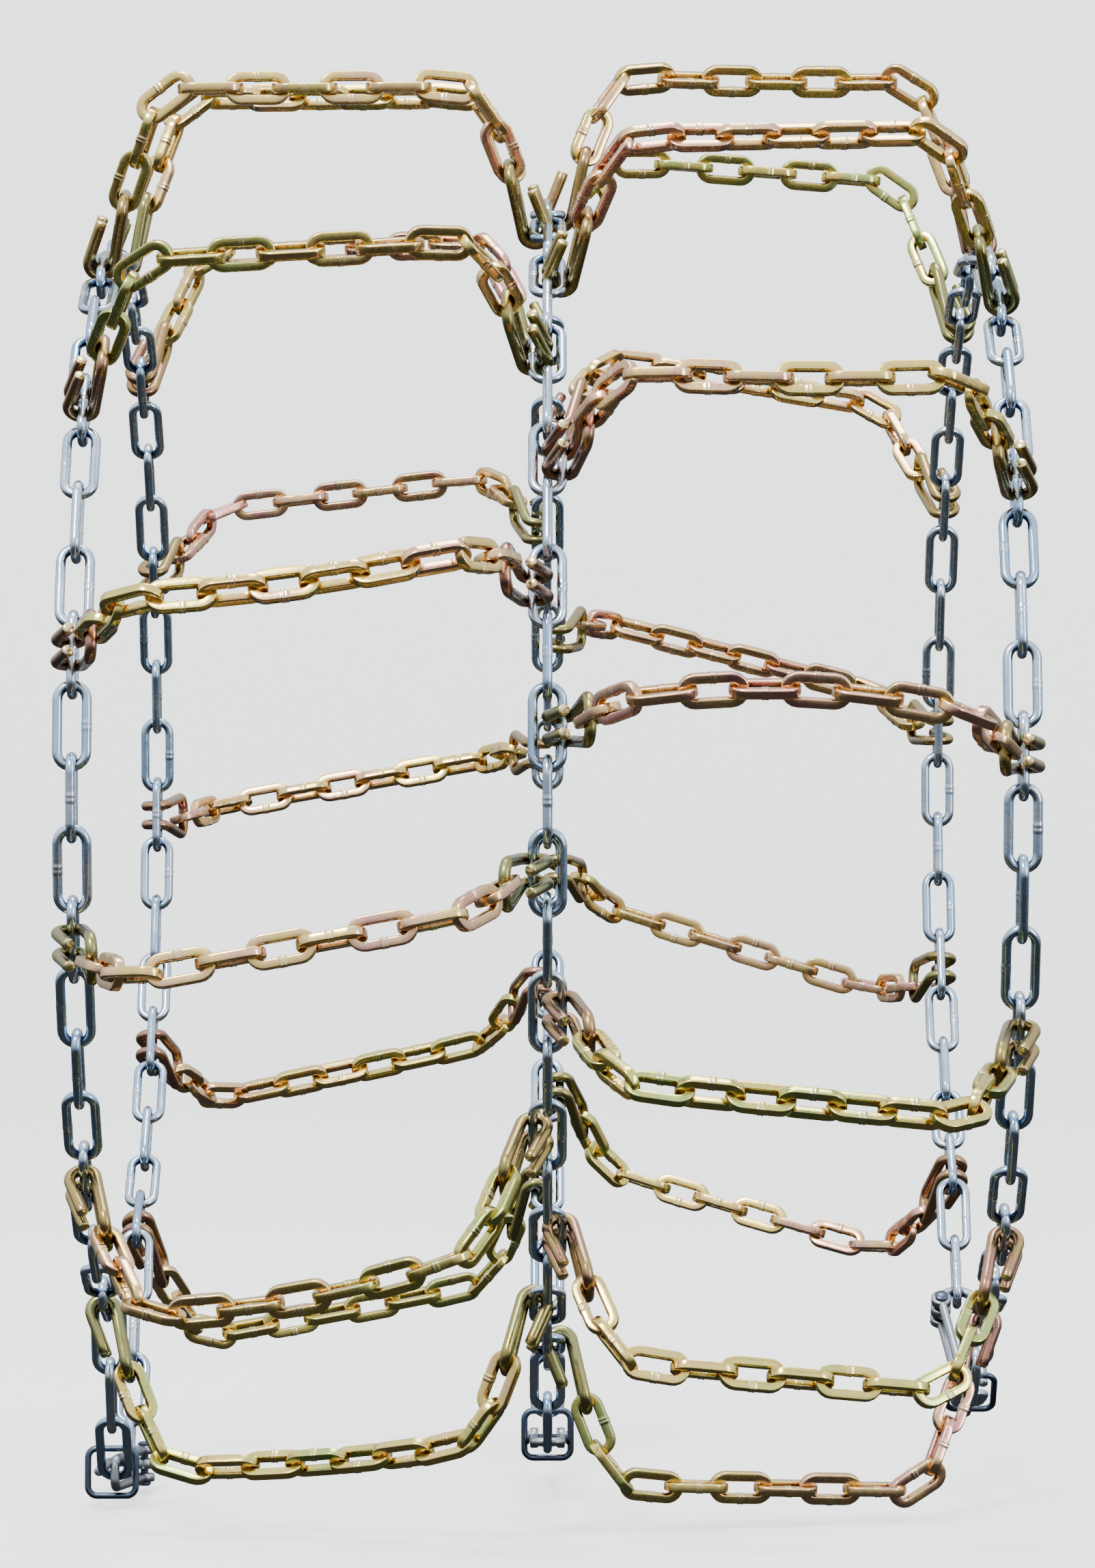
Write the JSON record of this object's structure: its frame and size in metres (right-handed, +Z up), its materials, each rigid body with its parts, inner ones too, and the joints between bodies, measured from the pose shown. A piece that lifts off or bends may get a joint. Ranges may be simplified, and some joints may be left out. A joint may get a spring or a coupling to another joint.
{
  "type": "tire snow chains",
  "caption": "Link chain set for dual truck wheels: round side chains, square-link cross chains over each tread on twin-prong hooks, and lever fasteners that close each side chain.",
  "frame": {"origin": "on the axle of the wheels that the set is fitted to, midway between the two tyres", "axes": "+X along the axle towards the right-hand tyre, +Z up, -Y to the front"},
  "size_m": [0.6976, 1.0986, 1.0964],
  "materials": {
    "yellow_zinc": "hardened square-section links and hooks, yellow chromate over zinc",
    "clear_zinc": "bright blue-white zinc on round welded links",
    "lever_steel": "dull zinc on forged levers, shackles, pins and keeper rings"
  },
  "bodies": {
    "side_chains": {"fastener_left_pin": "lever_steel", "fastener_left_shackle": "lever_steel", "fastener_middle_pin": "lever_steel", "fastener_middle_shackle": "lever_steel", "fastener_right_pin": "lever_steel", "fastener_right_shackle": "lever_steel", "side_chain_left_1": "clear_zinc", "side_chain_left_2": "clear_zinc", "side_chain_left_3": "clear_zinc", "side_chain_left_4": "clear_zinc", "side_chain_left_5": "clear_zinc", "side_chain_left_6": "clear_zinc", "side_chain_left_7": "clear_zinc", "side_chain_middle_1": "clear_zinc", "side_chain_middle_2": "clear_zinc", "side_chain_middle_3": "clear_zinc", "side_chain_middle_4": "clear_zinc", "side_chain_middle_5": "clear_zinc", "side_chain_middle_6": "clear_zinc", "side_chain_middle_7": "clear_zinc", "side_chain_right_1": "clear_zinc", "side_chain_right_2": "clear_zinc", "side_chain_right_3": "clear_zinc", "side_chain_right_4": "clear_zinc", "side_chain_right_5": "clear_zinc", "side_chain_right_6": "clear_zinc", "side_chain_right_7": "clear_zinc"},
    "cross_chain_left_01": {"cross_chain_left_01": "yellow_zinc"},
    "cross_chain_left_02": {"cross_chain_left_02": "yellow_zinc"},
    "cross_chain_left_03": {"cross_chain_left_03": "yellow_zinc"},
    "cross_chain_left_04": {"cross_chain_left_04": "yellow_zinc"},
    "cross_chain_left_05": {"cross_chain_left_05": "yellow_zinc"},
    "cross_chain_left_06": {"cross_chain_left_06": "yellow_zinc"},
    "cross_chain_left_07": {"cross_chain_left_07": "yellow_zinc"},
    "cross_chain_left_08": {"cross_chain_left_08": "yellow_zinc"},
    "cross_chain_left_09": {"cross_chain_left_09": "yellow_zinc"},
    "cross_chain_left_10": {"cross_chain_left_10": "yellow_zinc"},
    "cross_chain_left_11": {"cross_chain_left_11": "yellow_zinc"},
    "cross_chain_left_12": {"cross_chain_left_12": "yellow_zinc"},
    "cross_chain_right_01": {"cross_chain_right_01": "yellow_zinc"},
    "cross_chain_right_02": {"cross_chain_right_02": "yellow_zinc"},
    "cross_chain_right_03": {"cross_chain_right_03": "yellow_zinc"},
    "cross_chain_right_04": {"cross_chain_right_04": "yellow_zinc"},
    "cross_chain_right_05": {"cross_chain_right_05": "yellow_zinc"},
    "cross_chain_right_06": {"cross_chain_right_06": "yellow_zinc"},
    "cross_chain_right_07": {"cross_chain_right_07": "yellow_zinc"},
    "cross_chain_right_08": {"cross_chain_right_08": "yellow_zinc"},
    "cross_chain_right_09": {"cross_chain_right_09": "yellow_zinc"},
    "cross_chain_right_10": {"cross_chain_right_10": "yellow_zinc"},
    "cross_chain_right_11": {"cross_chain_right_11": "yellow_zinc"},
    "cross_chain_right_12": {"cross_chain_right_12": "yellow_zinc"},
    "lever_left": {"fastener_left_lever": "lever_steel"},
    "keeper_left": {"fastener_left_keeper": "lever_steel"},
    "lever_middle": {"fastener_middle_lever": "lever_steel"},
    "keeper_middle": {"fastener_middle_keeper": "lever_steel"},
    "lever_right": {"fastener_right_lever": "lever_steel"},
    "keeper_right": {"fastener_right_keeper": "lever_steel"}
  },
  "joints": [
    {"name": "swing_left_01", "type": "hinge", "parent": "side_chains", "child": "cross_chain_left_01", "pos_m": [-0.16753, 0.24019, -0.34056], "axis": [0.9653, 0.2445, 0.0916], "range_deg": [-5, 5]},
    {"name": "swing_left_02", "type": "hinge", "parent": "side_chains", "child": "cross_chain_left_02", "pos_m": [-0.16753, 0.37056, -0.19218], "axis": [0.9758, 0.155, 0.1541], "range_deg": [-5, 5]},
    {"name": "swing_left_03", "type": "hinge", "parent": "side_chains", "child": "cross_chain_left_03", "pos_m": [-0.16753, 0.41797, -0.00014], "axis": [0.9844, 0.0672, 0.1624], "range_deg": [-5, 5]},
    {"name": "swing_left_04", "type": "hinge", "parent": "side_chains", "child": "cross_chain_left_04", "pos_m": [-0.16753, 0.37153, 0.19236], "axis": [0.991, 0.0069, 0.1337], "range_deg": [-5, 5]},
    {"name": "swing_left_05", "type": "hinge", "parent": "side_chains", "child": "cross_chain_left_05", "pos_m": [-0.16753, 0.24152, 0.34194], "axis": [0.9954, -0.0163, 0.0945], "range_deg": [-5, 5]},
    {"name": "swing_left_06", "type": "hinge", "parent": "side_chains", "child": "cross_chain_left_06", "pos_m": [-0.16753, 0.05713, 0.41485], "axis": [0.9975, -0.0102, 0.07], "range_deg": [-5, 5]},
    {"name": "swing_left_07", "type": "hinge", "parent": "side_chains", "child": "cross_chain_left_07", "pos_m": [-0.16753, -0.14014, 0.3946], "axis": [0.9973, 0.0043, 0.0736], "range_deg": [-5, 5]},
    {"name": "swing_left_08", "type": "hinge", "parent": "side_chains", "child": "cross_chain_left_08", "pos_m": [-0.16753, -0.30587, 0.28578], "axis": [0.9947, 0.0029, 0.1024], "range_deg": [-5, 5]},
    {"name": "swing_left_09", "type": "hinge", "parent": "side_chains", "child": "cross_chain_left_09", "pos_m": [-0.16753, -0.40277, 0.11293], "axis": [0.9899, -0.0314, 0.138], "range_deg": [-5, 5]},
    {"name": "swing_left_10", "type": "hinge", "parent": "side_chains", "child": "cross_chain_left_10", "pos_m": [-0.16753, -0.40915, -0.08496], "axis": [0.983, -0.1005, 0.1539], "range_deg": [-5, 5]},
    {"name": "swing_left_11", "type": "hinge", "parent": "side_chains", "child": "cross_chain_left_11", "pos_m": [-0.16753, -0.32374, -0.26332], "axis": [0.974, -0.1883, 0.126], "range_deg": [-5, 5]},
    {"name": "swing_left_12", "type": "hinge", "parent": "side_chains", "child": "cross_chain_left_12", "pos_m": [-0.16753, -0.16601, -0.38209], "axis": [0.9632, -0.2654, 0.0434], "range_deg": [-5, 5]},
    {"name": "swing_right_01", "type": "hinge", "parent": "side_chains", "child": "cross_chain_right_01", "pos_m": [0.16753, 0.30326, -0.284], "axis": [-0.9468, 0.2628, 0.1856], "range_deg": [-5, 5]},
    {"name": "swing_right_02", "type": "hinge", "parent": "side_chains", "child": "cross_chain_right_02", "pos_m": [0.16753, 0.40078, -0.11287], "axis": [-0.9597, 0.1373, 0.2451], "range_deg": [-5, 5]},
    {"name": "swing_right_03", "type": "hinge", "parent": "side_chains", "child": "cross_chain_right_03", "pos_m": [0.16753, 0.4085, 0.08433], "axis": [-0.971, 0.0186, 0.2382], "range_deg": [-5, 5]},
    {"name": "swing_right_04", "type": "hinge", "parent": "side_chains", "child": "cross_chain_right_04", "pos_m": [0.16753, 0.32437, 0.2632], "axis": [-0.9806, -0.0642, 0.1854], "range_deg": [-5, 5]},
    {"name": "swing_right_05", "type": "hinge", "parent": "side_chains", "child": "cross_chain_right_05", "pos_m": [0.16753, 0.16709, 0.38336], "axis": [-0.9881, -0.0996, 0.1169], "range_deg": [-5, 5]},
    {"name": "swing_right_06", "type": "hinge", "parent": "side_chains", "child": "cross_chain_right_06", "pos_m": [0.16753, -0.02805, 0.41759], "axis": [-0.9936, -0.095, 0.0615], "range_deg": [-5, 5]},
    {"name": "swing_right_07", "type": "hinge", "parent": "side_chains", "child": "cross_chain_right_07", "pos_m": [0.16753, -0.21713, 0.35803], "axis": [-0.9968, -0.0717, 0.0359], "range_deg": [-5, 5]},
    {"name": "swing_right_08", "type": "hinge", "parent": "side_chains", "child": "cross_chain_right_08", "pos_m": [0.16753, -0.35755, 0.21801], "axis": [-0.9977, -0.0551, 0.0402], "range_deg": [-5, 5]},
    {"name": "swing_right_09", "type": "hinge", "parent": "side_chains", "child": "cross_chain_right_09", "pos_m": [0.16753, -0.41768, 0.02906], "axis": [-0.9962, -0.064, 0.0585], "range_deg": [-5, 5]},
    {"name": "swing_right_10", "type": "hinge", "parent": "side_chains", "child": "cross_chain_right_10", "pos_m": [0.16753, -0.38401, -0.16628], "axis": [-0.9925, -0.1025, 0.0665], "range_deg": [-5, 5]},
    {"name": "swing_right_11", "type": "hinge", "parent": "side_chains", "child": "cross_chain_right_11", "pos_m": [0.16753, -0.26421, -0.32403], "axis": [-0.9866, -0.158, 0.042], "range_deg": [-5, 5]},
    {"name": "swing_right_12", "type": "hinge", "parent": "side_chains", "child": "cross_chain_right_12", "pos_m": [0.16753, -0.0854, -0.40877], "axis": [-0.9785, -0.2046, -0.0255], "range_deg": [-5, 5]},
    {"name": "lever_left_pivot", "type": "hinge", "parent": "side_chains", "child": "lever_left", "pos_m": [-0.311, 0.07113, -0.52445], "axis": [0, -0.0581, -0.9983], "range_deg": [0, 75]},
    {"name": "keeper_left_slide", "type": "slide", "parent": "side_chains", "child": "keeper_left", "axis": [0, 0.9983, -0.0581], "range_m": [0, 0.034]},
    {"name": "lever_middle_pivot", "type": "hinge", "parent": "side_chains", "child": "lever_middle", "pos_m": [0, 0.1267, -0.51143], "axis": [-1, 0, 0], "range_deg": [0, 75]},
    {"name": "keeper_middle_slide", "type": "slide", "parent": "side_chains", "child": "keeper_middle", "axis": [0, 0.9996, 0.029], "range_m": [0, 0.034]},
    {"name": "lever_right_pivot", "type": "hinge", "parent": "side_chains", "child": "lever_right", "pos_m": [0.311, 0.17296, -0.41587], "axis": [0, -0.6033, 0.7975], "range_deg": [0, 75]},
    {"name": "keeper_right_slide", "type": "slide", "parent": "side_chains", "child": "keeper_right", "axis": [0, 0.7975, 0.6033], "range_m": [0, 0.034]}
  ]
}
